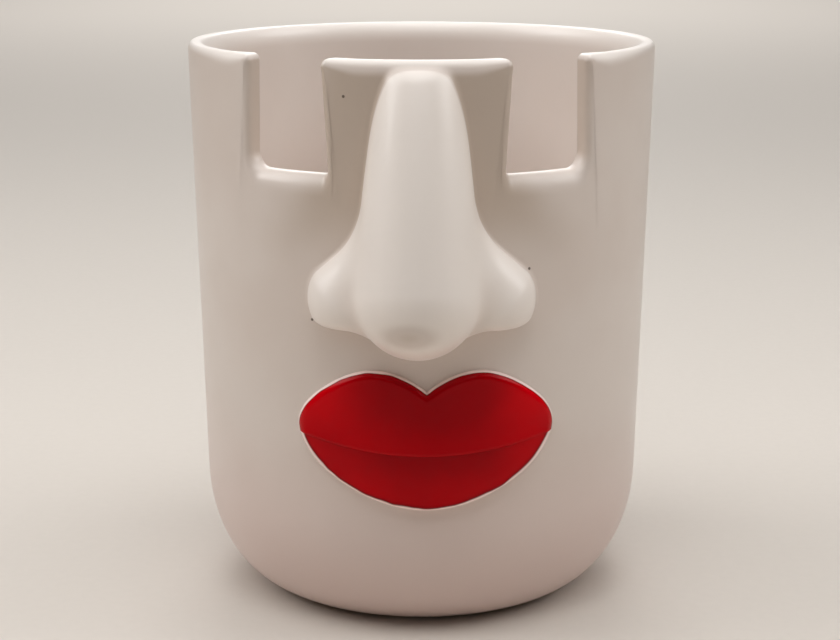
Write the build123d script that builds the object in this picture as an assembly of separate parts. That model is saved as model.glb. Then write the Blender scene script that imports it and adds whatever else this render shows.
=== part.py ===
from build123d import *
import math
import os

import numpy as np

# All sizes are in millimetres and degrees. The vase stands on the XY plane, its axis is Z
# and its face looks towards -Y.

# Vessel body: a cast shell, slightly flared, with a large soft corner at the bottom
HEIGHT = 149.5
RIM_RADIUS = 62.5
WALL = 5.3
WALL_LEAN = 1.3
CORNER_REACH = 22.0
CORNER_RISE = 33.0
FLOOR = 5.5
FOOT_RING = 5.5
FOOT_RECESS = 2.0
OUTER_EDGE_ROUND = 2.4
INNER_EDGE_ROUND = 2.2
OUTER_ROUND_SHARE = 0.5
INNER_ROUND_SHARE = 0.42
TOP_CORNER_SHARE = 0.7

# Eye notches, cut down from the rim on both sides of the nose
NOTCH_ANGLE = 32.2
NOTCH_TURN = -1.15
NOTCH_WIDTH = 20.8
NOTCH_FLARE = 1.4
NOTCH_DEPTH = 28.2
NOTCH_OUTER_CORNER = 4.0
NOTCH_PANEL_CORNER = 1.6
NOTCH_TOP_CORNER = 3.6

# Nose: curved bridge, ball tip and two wings; a stand is the height over the wall, a shift is to +X,
# and the bridge is drawn out towards its bend without reaching it
NOSE_TOP_DROP = 2.0
BRIDGE_RADIUS = 11.0
BRIDGE_STAND = 0.3
BRIDGE_SHIFT = -0.5
BEND_RADIUS = 12.0
BEND_STAND = 13.0
BEND_HEIGHT = 136.0
BEND_SHIFT = -0.7
TIP_RADIUS = 15.2
TIP_STAND = 23.0
TIP_HEIGHT = 93.6
TIP_SHIFT = -1.0
WING_RADIUS = 11.9
WING_STAND = 9.5
WING_SPREAD = 16.2
WING_HEIGHT = 90.9
WING_UNDERSIDE = 84.2
WING_TOP_RADIUS = 8.0
WING_TOP_STAND = 8.7
WING_TOP_SPREAD = 5.6
WING_TOP_HEIGHT = 105.8
NOSE_BLEND = 4.2
UNDERSIDE_BLEND = 2.2
MOULD_DRAFT = 0.05

# How the nose's skin is sampled
BRIDGE_POINTS = 9
NOSE_RAY_DEPTH = 16.0
NOSE_SIDE_TURN = 80.0
NOSE_UNDER_TURN = 80.0
NOSE_COLUMNS = 31
NOSE_LEVELS = 16
NOSE_UNDER_ROWS = 11
NOSE_SEARCH_STEPS = 40

# Lips: two raised pads that meet at the parting line; widths are measured across the front,
# and a pull is how firmly a curve keeps to its end's direction
LIPS_SHIFT = 1.25
LIP_HALF_WIDTH = 32.3
LIP_CORNER = 57.3
BOW_DIP = 68.2
BOW_DIP_SLOPE = 0.9
BOW_PEAK = 73.0
BOW_PEAK_AT = 13.0
BOW_SHOULDER = 68.2
BOW_SHOULDER_AT = 25.0
BOW_DIP_PULL = 1.0
BOW_CORNER_PULL = 0.6
PARTING = 50.8
PARTING_END = 54.0
PARTING_END_AT = 31.5
LOWER_LIP_BOTTOM = 36.8
LOWER_LIP_SIDE = 42.9
LOWER_LIP_SIDE_AT = 20.2
LOWER_LIP_END_SLOPE = 1.2
UPPER_PARTING_STAND = 4.4
UPPER_EDGE_STAND = 2.9
UPPER_SWELL = -0.25
LOWER_PARTING_STAND = 3.4
LOWER_EDGE_STAND = 2.8
LOWER_SWELL = 0.25
LIP_CORNER_FALL = 0.4
LIP_EDGE_ROUND = 0.9

# How the lips' skins are sampled
LIP_SKIN_MARGIN = 8.0
LIP_SKIN_COLUMNS = 17
LIP_SKIN_ROWS = 13
SKIN_TOLERANCE = 0.03


def wall_radius(z):
    """Outside radius of the leaning wall at a height."""
    return RIM_RADIUS - (HEIGHT - z) * math.tan(math.radians(WALL_LEAN))


def bottom_corner(reach, rise, inset):
    """Quarter ellipse that meets the leaning wall, moved in by the inset, without a kink."""
    lean = math.tan(math.radians(WALL_LEAN))
    turn = math.atan2(reach, rise * lean)
    end_height = CORNER_RISE - rise * math.cos(turn)
    centre = wall_radius(end_height) - inset - reach * math.sin(turn)
    arc = EllipticalCenterArc(
        (centre, CORNER_RISE), reach, rise, start_angle=-90, arc_size=math.degrees(turn)
    )
    return centre, arc


def make_envelope():
    """The vase as a filled block, with its rounded rim: what the nose and lips sit against."""
    foot_radius, corner = bottom_corner(CORNER_REACH, CORNER_RISE, 0)
    rim = (RIM_RADIUS, HEIGHT)
    outline = Curve() + [
        Line((0, 0), (foot_radius, 0)),
        corner,
        Line(corner @ 1, rim),
        Line(rim, (0, HEIGHT)),
        Line((0, HEIGHT), (0, 0)),
    ]
    block = revolve(Plane.XZ * make_face(outline), Axis.Z)
    rim_edge = block.edges().filter_by(GeomType.CIRCLE).sort_by(Axis.Z)[-1]
    return fillet(rim_edge, outer_edge_round())


def outer_edge_round():
    """Rounding of the rim's outside, kept within the wall and within the notches' top corners."""
    return min(OUTER_EDGE_ROUND, OUTER_ROUND_SHARE * WALL, TOP_CORNER_SHARE * NOTCH_TOP_CORNER)


def inner_edge_round():
    """Rounding of the rim's inside, kept within the rest of the wall."""
    return min(INNER_EDGE_ROUND, INNER_ROUND_SHARE * WALL)


def make_notch():
    """Cutter for the notch on the +X side, wider at its sill, pushed in towards the axis."""
    angle = math.radians(NOTCH_ANGLE)
    across = (math.cos(angle), math.sin(angle), 0)
    outwards = (math.sin(angle), -math.cos(angle), 0)
    sill = HEIGHT - NOTCH_DEPTH
    above = HEIGHT + WALL
    narrow = NOTCH_WIDTH / 2 - NOTCH_FLARE * WALL / NOTCH_DEPTH
    wide = NOTCH_WIDTH / 2 + NOTCH_FLARE
    opening = Polyline((-narrow, above), (-wide, sill), (wide, sill), (narrow, above), close=True)
    face = make_face(opening)
    panel_corner = face.vertices().sort_by_distance((-wide, sill))[0]
    face = fillet(panel_corner, NOTCH_PANEL_CORNER)
    outer_corner = face.vertices().sort_by_distance((wide, sill))[0]
    face = fillet(outer_corner, NOTCH_OUTER_CORNER)
    plane = Plane(origin=(0, 0, 0), x_dir=across, z_dir=outwards)
    return extrude(plane * face, RIM_RADIUS + WALL)


def make_vessel_body():
    """Revolved shell with a foot ring, two eye notches and soft edges."""
    foot_radius, outer_corner = bottom_corner(CORNER_REACH, CORNER_RISE, 0)
    floor_top = FOOT_RECESS + FLOOR
    inner_radius, inner_corner = bottom_corner(CORNER_REACH - WALL, CORNER_RISE - floor_top, WALL)
    ring_inside = foot_radius - FOOT_RING
    outer_rim = (RIM_RADIUS, HEIGHT)
    inner_rim = (RIM_RADIUS - WALL, HEIGHT)
    outline = Curve() + [
        Line((0, FOOT_RECESS), (ring_inside, FOOT_RECESS)),
        Line((ring_inside, FOOT_RECESS), (ring_inside, 0)),
        Line((ring_inside, 0), (foot_radius, 0)),
        outer_corner,
        Line(outer_corner @ 1, outer_rim),
        Line(outer_rim, inner_rim),
        Line(inner_rim, inner_corner @ 1),
        inner_corner,
        Line((inner_radius, floor_top), (0, floor_top)),
        Line((0, floor_top), (0, FOOT_RECESS)),
    ]
    body = revolve(Plane.XZ * make_face(outline), Axis.Z)
    notch = make_notch()
    body = body - Rot(Z=NOTCH_TURN) * notch - Rot(Z=NOTCH_TURN) * mirror(notch, Plane.YZ)

    top_corners = body.edges().filter_by(GeomType.LINE).group_by(Axis.Z)[-1]
    body = fillet(top_corners, NOTCH_TOP_CORNER)
    body = fillet(soft_edges(body, -1), outer_edge_round())
    return fillet(soft_edges(body, -2), inner_edge_round())


def soft_edges(body, rank):
    """Edges along the rim and notches of the wall face with that rank by area."""
    wall = body.faces().filter_by(GeomType.CONE).sort_by(SortBy.AREA)[rank]
    open_edges = [edge for edge in wall.edges() if not edge.is_closed]
    return [edge for edge in open_edges if edge.geom_type != GeomType.LINE]


def rounded_bar(points, start, end, start_radius, end_radius):
    """Distance to a bar with ball ends that runs straight back into the wall; negative inside.

    Behind the bar's own line its sides go back with the mould's draft.
    """
    fall = np.clip((points[..., 2] - start[2]) / (end[2] - start[2]), 0, 1)
    behind = np.maximum(points[..., 1] - start[1] - fall * (end[1] - start[1]), 0)
    level = points - behind[..., None] * np.array([0, 1, 0])
    along = end - start
    share = np.clip((level - start) @ along / (along @ along), 0, 1)
    gap = np.linalg.norm(level - start - share[..., None] * along, axis=-1)
    return gap - start_radius - share * (end_radius - start_radius) - behind * MOULD_DRAFT


def soft_union(first, second, blend):
    """Union of two distances with a hollow fillet of about the blend's size."""
    overlap = np.maximum(blend - np.abs(first - second), 0) / blend
    return np.minimum(first, second) - overlap**2 * blend / 4


def on_wall(x, z, stand):
    """Point that stands clear of the wall by the stand, in front of it."""
    return np.array([x, -math.sqrt(wall_radius(z) ** 2 - x**2) - stand, z])


def bridge_line():
    """Middle points down the bridge, each with its radius: a curve drawn towards the bend."""
    top = np.append(on_wall(BRIDGE_SHIFT, HEIGHT, BRIDGE_STAND - BRIDGE_RADIUS), BRIDGE_RADIUS)
    bend = np.append(on_wall(BEND_SHIFT, BEND_HEIGHT, BEND_STAND - BEND_RADIUS), BEND_RADIUS)
    tip = np.append(on_wall(TIP_SHIFT, TIP_HEIGHT, TIP_STAND - TIP_RADIUS), TIP_RADIUS)
    share = np.linspace(0, 1, BRIDGE_POINTS)[:, None]
    return (1 - share) ** 2 * top + 2 * share * (1 - share) * bend + share**2 * tip


def nose_distance(points):
    """Distance to the nose: bridge, tip and wings run into each other; negative inside."""
    line = bridge_line()
    bars = [
        rounded_bar(points, start[:3], end[:3], start[3], end[3])
        for start, end in zip(line[:-1], line[1:])
    ]
    bridge = np.min(bars, axis=0)

    right_half = np.concatenate([np.abs(points[..., :1]), points[..., 1:]], axis=-1)
    wing_low = on_wall(WING_SPREAD, WING_HEIGHT, WING_STAND - WING_RADIUS)
    wing_top = on_wall(WING_TOP_SPREAD, WING_TOP_HEIGHT, WING_TOP_STAND - WING_TOP_RADIUS)
    wing = rounded_bar(right_half, wing_low, wing_top, WING_RADIUS, WING_TOP_RADIUS)
    wing = -soft_union(-wing, points[..., 2] - WING_UNDERSIDE, UNDERSIDE_BLEND)
    return soft_union(bridge, wing, NOSE_BLEND)


def nose_skin():
    """Skin lofted through sections of the nose, each found along rays from a line inside the vase."""
    turns = np.radians(np.linspace(-NOSE_SIDE_TURN, NOSE_SIDE_TURN, NOSE_COLUMNS))
    level = np.linspace(HEIGHT + WALL, TIP_HEIGHT, NOSE_LEVELS)
    dips = np.radians(np.linspace(0, NOSE_UNDER_TURN, NOSE_UNDER_ROWS))[1:]
    heights = np.concatenate([level, np.full(len(dips), TIP_HEIGHT)])
    dips = np.concatenate([np.zeros(len(level)), dips])

    start = np.stack([on_wall(0, z, -NOSE_RAY_DEPTH) for z in heights])[:, None, :]
    across = np.sin(turns)[None, :] * np.ones_like(dips)[:, None]
    forward = -np.cos(turns)[None, :] * np.cos(dips)[:, None]
    upward = -np.cos(turns)[None, :] * np.sin(dips)[:, None]
    rays = np.stack([across, forward, upward], axis=-1)

    inside = np.zeros(across.shape)
    outside = np.full(across.shape, NOSE_RAY_DEPTH + 2 * TIP_STAND)
    for _ in range(NOSE_SEARCH_STEPS):
        middle = (inside + outside) / 2
        solid = nose_distance(start + middle[..., None] * rays) < 0
        inside = np.where(solid, middle, inside)
        outside = np.where(solid, outside, middle)
    sections = (start + inside[..., None] * rays).tolist()
    curves = [Edge.make_spline([Vector(*point) for point in section]) for section in sections]
    return Shell.make_loft([Wire([curve]) for curve in curves]).face()


def inner_piece(block, skin):
    """The part of a block that lies between the vase's wall and a skin."""
    pieces = block.split(skin, keep=Keep.ALL)
    return sorted(pieces, key=lambda piece: -piece.center().Y)[0]


def make_nose(envelope):
    """High relief that stands on the wall, cut level just under the rim."""
    low = WING_UNDERSIDE - TIP_RADIUS
    top = HEIGHT - NOSE_TOP_DROP
    deep = RIM_RADIUS + 2 * TIP_STAND
    wide = 2 * (WING_SPREAD + 2 * WING_RADIUS)
    block = Pos(0, -deep / 2, (low + top) / 2) * Box(wide, deep, top - low) - envelope
    return inner_piece(block.solid(), nose_skin())


def lip_skin(edge, parting_stand, edge_stand, swell):
    """Spline skin of one lip: its stand runs from the parting line to its edge and falls to the corners."""
    across = LIP_HALF_WIDTH + LIP_SKIN_MARGIN
    columns = np.linspace(-across, across, LIP_SKIN_COLUMNS)
    low = min(edge, PARTING) - LIP_SKIN_MARGIN
    high = max(edge, PARTING_END) + LIP_SKIN_MARGIN
    rows = np.linspace(low, high, LIP_SKIN_ROWS)
    x, z = np.meshgrid(columns, rows)
    parting = PARTING + (PARTING_END - PARTING) * (x / PARTING_END_AT) ** 2
    share = (z - parting) / (edge - PARTING)
    bulge = swell * (1 - (2 * share - 1) ** 2)
    stand = parting_stand + share * (edge_stand - parting_stand) + bulge
    over_wall = stand * (1 - LIP_CORNER_FALL * (x / LIP_HALF_WIDTH) ** 2)
    y = -np.sqrt(wall_radius(z) ** 2 - x**2) - over_wall
    skin = np.stack([x, y, z], axis=-1)
    return Face.make_surface_from_array_of_points(skin.tolist(), tol=SKIN_TOLERANCE, min_deg=3)


def make_lip(half_outline, skin, envelope):
    """Pad with upright sides between the wall and its crowned skin; half_outline is the +X side."""
    outline = Curve() + half_outline + mirror(half_outline, Plane.YZ)
    prism = extrude(Plane.XZ * make_face(outline), 2 * RIM_RADIUS)
    pad = inner_piece((prism - envelope).solid(), skin)
    crowned = pad.faces().filter_by(GeomType.BSPLINE).sort_by(SortBy.AREA)[-1]
    pad = fillet(crowned.edges(), LIP_EDGE_ROUND)
    turn = math.degrees(LIPS_SHIFT / wall_radius(PARTING))
    return Rot(Z=turn) * pad


def parting_line():
    """Right half of the line where the lips meet, from the middle to the corner."""
    middle = (0, PARTING)
    end = (PARTING_END_AT, PARTING_END)
    return TangentArc(middle, end, tangent=(1, 0))


def make_upper_lip(envelope):
    """Upper lip with its cupid's bow."""
    bow = Spline(
        (0, BOW_DIP),
        (BOW_PEAK_AT, BOW_PEAK),
        (BOW_SHOULDER_AT, BOW_SHOULDER),
        (LIP_HALF_WIDTH, LIP_CORNER),
        tangents=[(1, BOW_DIP_SLOPE), (0, -1)],
        tangent_scalars=[BOW_DIP_PULL, BOW_CORNER_PULL],
    )
    corner = Line((LIP_HALF_WIDTH, LIP_CORNER), (PARTING_END_AT, PARTING_END))
    skin = lip_skin(BOW_PEAK, UPPER_PARTING_STAND, UPPER_EDGE_STAND, UPPER_SWELL)
    return make_lip(Curve() + [bow, corner, parting_line()], skin, envelope)


def make_lower_lip(envelope):
    """Lower lip, hanging from the parting line."""
    belly = Spline(
        (0, LOWER_LIP_BOTTOM),
        (LOWER_LIP_SIDE_AT, LOWER_LIP_SIDE),
        (PARTING_END_AT, PARTING_END),
        tangents=[(1, 0), (1, LOWER_LIP_END_SLOPE)],
    )
    skin = lip_skin(LOWER_LIP_BOTTOM, LOWER_PARTING_STAND, LOWER_EDGE_STAND, LOWER_SWELL)
    return make_lip(Curve() + [belly, parting_line()], skin, envelope)


envelope = make_envelope()
pieces = {
    "vessel_body": make_vessel_body(),
    "nose": make_nose(envelope),
    "upper_lip": make_upper_lip(envelope),
    "lower_lip": make_lower_lip(envelope),
}

os.makedirs("parts", exist_ok=True)
for name, piece in pieces.items():
    export_step(piece, f"parts/{name}.step")
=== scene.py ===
"""Face vase: a glazed vessel with eye notches, a nose in high relief and red lips."""

import math

import bpy
import numpy as np
from bpy.props import FloatProperty, FloatVectorProperty, PointerProperty
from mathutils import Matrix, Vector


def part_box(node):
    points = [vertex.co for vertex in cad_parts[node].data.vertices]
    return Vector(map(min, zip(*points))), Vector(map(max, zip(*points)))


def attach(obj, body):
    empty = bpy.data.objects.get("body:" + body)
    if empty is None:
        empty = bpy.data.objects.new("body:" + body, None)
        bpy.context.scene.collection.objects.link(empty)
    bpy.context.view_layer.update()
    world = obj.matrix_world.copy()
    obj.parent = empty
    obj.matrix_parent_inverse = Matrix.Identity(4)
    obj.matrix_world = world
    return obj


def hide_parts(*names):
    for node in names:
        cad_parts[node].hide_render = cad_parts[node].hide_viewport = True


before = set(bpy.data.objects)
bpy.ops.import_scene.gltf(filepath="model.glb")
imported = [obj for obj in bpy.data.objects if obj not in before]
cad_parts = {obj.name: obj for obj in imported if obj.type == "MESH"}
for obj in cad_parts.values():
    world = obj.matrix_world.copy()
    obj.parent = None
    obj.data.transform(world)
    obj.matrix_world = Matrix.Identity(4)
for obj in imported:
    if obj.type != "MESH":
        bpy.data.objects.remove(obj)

bl_info = {
    "name": "Face vase",
    "version": (1, 0, 0),
    "blender": (4, 5, 0),
    "location": "View3D > Sidebar > Face vase",
    "description": "Builds a glazed vase with a face around its measured solids",
    "category": "Add Mesh",
}

MM = 0.001
SHARP_ANGLE = math.radians(50)
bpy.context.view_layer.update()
VESSEL_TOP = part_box("vessel_body")[1].z


def linear(code):
    """Linear light of an sRGB hex colour."""
    parts = np.array([int(code[place : place + 2], 16) for place in (1, 3, 5)]) / 255
    low = parts / 12.92
    high = ((parts + 0.055) / 1.055) ** 2.4
    return tuple(np.where(parts <= 0.04045, low, high).tolist())


def length(name, description, millimetres):
    """A size that a user may change."""
    return FloatProperty(
        name=name, description=description, default=millimetres * MM, unit="LENGTH", precision=4
    )


def angle(name, description, degrees):
    """An angle that a user may change."""
    return FloatProperty(name=name, description=description, default=math.radians(degrees), subtype="ANGLE")


def colour(name, description, code):
    """A colour that a user may change, given as sRGB hex."""
    return FloatVectorProperty(
        name=name, description=description, default=linear(code), subtype="COLOR", min=0, max=1
    )


def number(name, description, default):
    """A plain number that a user may change."""
    return FloatProperty(name=name, description=description, default=default, precision=4)


class VesselSettings(bpy.types.PropertyGroup):
    """Sizes and colours of the vessel body."""

    height: length("Height", "Foot to rim", VESSEL_TOP / MM)
    rim_radius: length("Rim radius", "Outside radius at the rim", 62.49)
    wall: length("Wall", "Thickness of the cast wall", 5.3)
    wall_lean: angle("Wall lean", "How far the wall leans in towards the foot", 1.3)
    corner_reach: length("Corner reach", "Width of the soft bottom corner", 22.0)
    corner_rise: length("Corner rise", "Height of the soft bottom corner", 33.0)
    floor: length("Floor", "Thickness of the floor", 5.5)
    foot_ring: length("Foot ring", "Width of the bare ring that it stands on", 5.5)
    foot_recess: length("Foot recess", "Depth of the recess inside the foot ring", 2.0)
    foot_round: length("Foot rounding", "Rounding of the foot ring's edges", 0.8)
    edge_round: length("Edge rounding", "Rounding outside along the rim and the notches' sides", 2.4)
    rim_drop: length("Rim outer fall", "Rounding outside along the rim, down the wall", 4.4)
    back_round: length("Back rounding", "Rim's outside rounding away from the face, across the wall", 1.3)
    back_drop: length("Back outer fall", "Rim's outside rounding away from the face, down the wall", 2.2)
    sill_round: length("Sill rounding", "Rounding outside along the sills, across the wall", 3.7)
    sill_drop: length("Sill outer fall", "Rounding outside along the sills, down the wall", 5.4)
    side_round: length("Notch inner rounding", "Rounding inside along the notches", 1.2)
    rim_round: length("Rim inner rounding", "Rounding inside along the rim, across the wall", 2.6)
    rim_fall: length("Rim inner fall", "Rounding inside along the rim, down the wall", 5.5)
    notch_angle: angle("Notch angle", "Turn from the panel's middle to the middle of a notch", 32.2)
    notch_turn: angle("Notch turn", "How far both notches are turned from the front", -1.15)
    notch_width: length("Notch width", "Width of an eye notch at the rim", 20.8)
    notch_flare: length("Notch flare", "How far each side of a notch leans away towards the sill", 1.4)
    notch_depth: length("Notch depth", "Rim to sill", 28.2)
    notch_outer_corner: length("Outer sill corner", "Radius at the sill's outer end", 4.0)
    notch_panel_corner: length("Panel sill corner", "Radius at the sill's inner end", 1.6)
    panel_top_corner: length("Panel top corner", "Radius where the panel's side meets the rim", 2.2)
    outer_top_corner: length("Outer top corner", "Radius where a notch's outer side meets the rim", 1.8)
    glaze: colour("Glaze", "Off-white glaze of the wall", "#e2d6cd")
    glaze_warm: colour("Warm glaze", "Glaze of the wall where the clay shows through", "#ddcfc5")
    # Painted shade: warmer, darker glaze towards the foot
    glaze_foot_shade: colour("Low glaze", "Glaze that has run down towards the foot", "#dfc9c1")
    # Partly thin glaze over edges and relief, partly painted highlight on the rim, the sills, the inner wall
    # and the nose
    glaze_thin_and_highlight: colour("Thin glaze", "Glaze that has run thin over edges and high relief", "#fbf2ea")
    # Painted shade: darker glaze where shade falls beside the nose, on the notches' sides, under the nose's
    # tip and in its creases
    glaze_painted_shade: colour("Pooled glaze", "Glaze that has gathered in the corners by the nose", "#c8b7a8")
    clay: colour("Bare clay", "Fired clay of the foot ring", "#d9c7b0")
    clay_dark: colour("Dark clay", "Darker grains of the fired clay", "#c4ae94")
    speck: colour("Speck", "Tiny iron specks in the glaze", "#6a5c50")


class NoseSettings(bpy.types.PropertyGroup):
    """Sizes of the nose; a stand is a height over the wall."""

    top_drop: length("Top drop", "Rim to the top of the nose", 2.0)
    top_round: length("Top rounding", "Rounding of the nose's top edge", 3.2)
    bridge_radius: length("Bridge radius", "Radius of the bridge at the rim", 8.2)
    bridge_stand: length("Bridge stand", "Stand of the bridge at the rim", 0.3)
    bridge_shift: length("Bridge shift", "Bridge at the rim to the right of the axis", -0.5)
    bend_radius: length("Bend radius", "Radius that the bridge is drawn towards", 12.4)
    bend_stand: length("Bend stand", "Stand that the bridge is drawn towards", 10.2)
    bend_height: length("Bend height", "Height that the bridge is drawn towards", 136.0)
    bend_shift: length("Bend shift", "Bend to the right of the axis", -0.7)
    tip_radius: length("Tip radius", "Radius of the ball tip", 15.2)
    tip_stand: length("Tip stand", "Stand of the ball tip", 23.0)
    tip_height: length("Tip height", "Height of the ball tip", 93.6)
    tip_shift: length("Tip shift", "Tip to the right of the axis", -1.0)
    wing_radius: length("Wing radius", "Radius of a wing", 11.9)
    wing_stand: length("Wing stand", "Stand of a wing", 9.5)
    wing_spread: length("Wing spread", "Middle to a wing", 16.2)
    wing_height: length("Wing height", "Height of a wing", 90.9)
    wing_underside: length("Wing underside", "Height of the wings' flat underside", 84.2)
    wing_top_radius: length("Wing top radius", "Radius where a wing runs into the bridge", 8.0)
    wing_top_stand: length("Wing top stand", "Stand where a wing runs into the bridge", 8.7)
    wing_top_spread: length("Wing top spread", "Middle to the upper end of a wing", 5.6)
    wing_top_height: length("Wing top height", "Height of the upper end of a wing", 105.8)
    blend: length("Blend", "Hollow fillet between bridge and wings", 5.2)
    underside_blend: length("Underside blend", "Rounding of the wings' underside", 2.2)
    root_blend: length("Root blend", "Hollow fillet where the nose leaves the wall", 0.9)
    draft: number("Mould draft", "Widening of the nose towards the wall", 0.05)


class LipSettings(bpy.types.PropertyGroup):
    """Sizes and colours of the lips; a stand is a height over the wall."""

    shift: length("Shift", "Middle of the lips to the right of the axis", 1.25)
    half_width: length("Half width", "Middle to a corner", 32.3)
    corner: length("Corner height", "Height of the corners", 57.3)
    bow_dip: length("Bow dip", "Height of the dip in the bow", 67.7)
    bow_peak: length("Bow peak", "Height of the bow's peaks", 73.0)
    bow_peak_at: length("Bow peak place", "Middle to a peak", 13.0)
    bow_shoulder: length("Bow shoulder", "Height of the bow's shoulder", 68.2)
    bow_shoulder_at: length("Bow shoulder place", "Middle to a shoulder", 25.0)
    bow_dip_slope: number("Bow dip slope", "Rise of the bow out of its dip", 0.9)
    parting: length("Parting", "Height of the parting line in the middle", 51.9)
    parting_end: length("Parting end", "Height of the parting line's ends", 55.6)
    parting_end_at: length("Parting end place", "Middle to an end of the parting line", 32.1)
    bottom: length("Bottom", "Height of the lower lip's edge in the middle", 36.8)
    side: length("Lower side", "Height of the lower lip's side point", 42.4)
    side_at: length("Lower side place", "Middle to the side point", 20.2)
    cheek: length("Lower cheek", "Height of the lower lip's edge near the corner", 50.4)
    cheek_at: length("Lower cheek place", "Middle to the point near the corner", 29.6)
    end_slope: number("Lower end slope", "Rise of the lower lip's edge at the corner", 3.0)
    upper_parting_stand: length("Upper stand", "Stand of the upper lip at the parting line", 4.4)
    upper_edge_stand: length("Upper edge stand", "Stand of the upper lip along the bow", 2.9)
    lower_parting_stand: length("Lower stand", "Stand of the lower lip at the parting line", 3.4)
    lower_edge_stand: length("Lower edge stand", "Stand of the lower lip along its edge", 2.8)
    shoulder: length("Shoulder", "Width of the rounded shoulder along the outline", 1.7)
    lap: length("Lap", "Rounding of the upper lip over the parting line", 1.0)
    upper_line: length("Upper line", "Bare line along the upper lip's edge", 0.28)
    lower_line: length("Lower line", "Bare line along the lower lip's edge", 1.1)
    glaze: colour("Red glaze", "Red glaze of the lips", "#d6000e")
    # Painted shade: darker red where shade falls on the lips
    painted_shade_red: colour("Thick red", "Red glaze where it lies thick", "#a2000a")
    # Painted shade: darker red in a band just inside the lips' edge
    glaze_painted_shade: colour("Pooled red", "Red glaze where it gathers along its edge", "#780008")
    # Partly bare glaze where the red stops, partly painted highlight along the lips' edge
    edge: colour("Bare edge", "Thin line that the red leaves free", "#fde6df")


class StageSettings(bpy.types.PropertyGroup):
    """Camera, floor and lights."""

    camera_distance: length("Camera distance", "Vase's axis to the camera", 500.0)
    camera_height: length("Camera height", "Floor to the camera", 191.15)
    camera_side: length("Camera side", "Camera to the right of the vase's axis", -0.4)
    camera_pitch: angle("Camera pitch", "How far the camera looks down", 13.45)
    lens: number("Lens", "Focal length in millimetres", 78.96)
    floor: colour("Floor", "Pale studio floor", "#dad2c9")
    floor_shade: colour("Floor shade", "Darker tone in the floor's coat", "#d6cec5")
    sky: colour("Sky", "Soft light of the room", "#f2efec")
    sky_strength: number("Sky strength", "Strength of the room's light", 0.05)
    top_light: number("Top light", "Power of the softbox overhead, in watts", 2.3)
    left_light: number("Left light", "Power of the softbox on the left, in watts", 3.4)
    right_light: number("Right light", "Power of the softbox on the right, in watts", 2.45)
    front_light: number("Front light", "Power of the softbox high in front, in watts", 3.7)
    back_wash: number("Back wash", "Power of the far light on the floor behind, in watts", 35.0)
    side_wash: number("Side wash", "Power of each far light on the floor at the sides, in watts", 18.5)
    front_wash: number("Front wash", "Power of the far light on the floor in front, in watts", 3.0)


# Meshes

def grid_quads(numbers):
    """Quads between neighbouring rows and columns of a grid of vertex numbers."""
    low = np.stack([numbers[:-1, :-1], numbers[:-1, 1:]], axis=-1)
    high = np.stack([numbers[1:, 1:], numbers[1:, :-1]], axis=-1)
    return np.concatenate([low, high], axis=-1).reshape(-1, 4)


def closed_tube(rows, first_pole, last_pole):
    """Vertices and faces of rings that close on themselves, with a fan to a pole at both ends."""
    count, columns = rows.shape[:2]
    numbers = np.arange(count * columns).reshape(count, columns)
    rings = np.concatenate([numbers, numbers[:, :1]], axis=1)
    first = np.full(columns, count * columns)
    start_fan = np.stack([first, rings[0, 1:], rings[0, :-1]], axis=-1)
    end_fan = np.stack([first + 1, rings[-1, :-1], rings[-1, 1:]], axis=-1)
    vertices = np.concatenate([rows.reshape(-1, 3), [first_pole, last_pole]])
    return vertices, grid_quads(rings).tolist() + start_fan.tolist() + end_fan.tolist()


def closed_sheet(front, back):
    """Vertices and faces of a front grid, a back grid and the strip that joins their edges."""
    count, columns = front.shape[:2]
    numbers = np.arange(count * columns).reshape(count, columns)
    quads = grid_quads(numbers)
    edge = np.concatenate([numbers[0, :-1], numbers[:-1, -1], numbers[-1, :0:-1], numbers[:0:-1, 0]])
    following = np.roll(edge, -1)
    behind = count * columns
    strip = np.stack([following, edge, edge + behind, following + behind], axis=-1)
    faces = np.concatenate([quads, quads[:, ::-1] + behind, strip])
    return np.concatenate([front.reshape(-1, 3), back.reshape(-1, 3)]), faces.tolist()


def add_piece(name, vertices, faces, materials, node):
    """A smooth mesh object at the origin that rides on the vase and stands for a node."""
    mesh = bpy.data.meshes.new(name)
    mesh.from_pydata(vertices.tolist(), [], faces)
    mesh.polygons.foreach_set("use_smooth", np.ones(len(faces), bool))
    for material in materials:
        mesh.materials.append(material)
    mesh.update()
    mesh.set_sharp_from_angle(angle=SHARP_ANGLE)
    piece = bpy.data.objects.new(name, mesh)
    bpy.context.scene.collection.objects.link(piece)
    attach(piece, "root")
    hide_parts(node)
    return piece


def add_attribute(piece, name, values):
    """One number for each vertex, for the material to read."""
    attribute = piece.data.attributes.new(name, "FLOAT", "POINT")
    attribute.data.foreach_set("value", np.asarray(values, np.float32).ravel())


# Vessel body

# Rows and points of the mesh
ARC_POINTS = 10
RIM_SPACING = 1.5 * MM
WALL_ROWS = 70
INNER_ROWS = 40
CORNER_ROWS = 26
FLOOR_ROWS = 8
EDGE_ROWS = 9
POLE_RING_SHARE = 0.25
FOOT_STEP_SHARE = 0.125

# How columns spread below the notches, and how far round a notch's sides count as parallel
PANEL_SHARE = 0.5
OUTER_SPREAD = 13 * MM
NOTCH_WINDOW = (math.radians(14), math.radians(30))

# How roundings grow with the distance from a corner
CORNER_ROUND_SHARE = 0.9
ROUND_GROWTH = 0.5
RIM_ROUND_RUN = 8 * MM
BACK_ROUND_RUN = 30 * MM

# How much paler than on top of the rim the glaze is painted on a sill and inside, partly thin glaze and
# partly painted highlight, and how much painted shade darkens a notch's sides
SILL_THIN_AND_LIGHT_SHARE = 0.35
INNER_LIGHT_SHARE = 0.4
SIDE_SHADE_SHARE = 0.6


def wall_radius(vessel, z):
    """Outside radius of the wall, which leans in by a steady angle from the rim down."""
    return vessel.rim_radius - (vessel.height - z) * math.tan(vessel.wall_lean)


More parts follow.
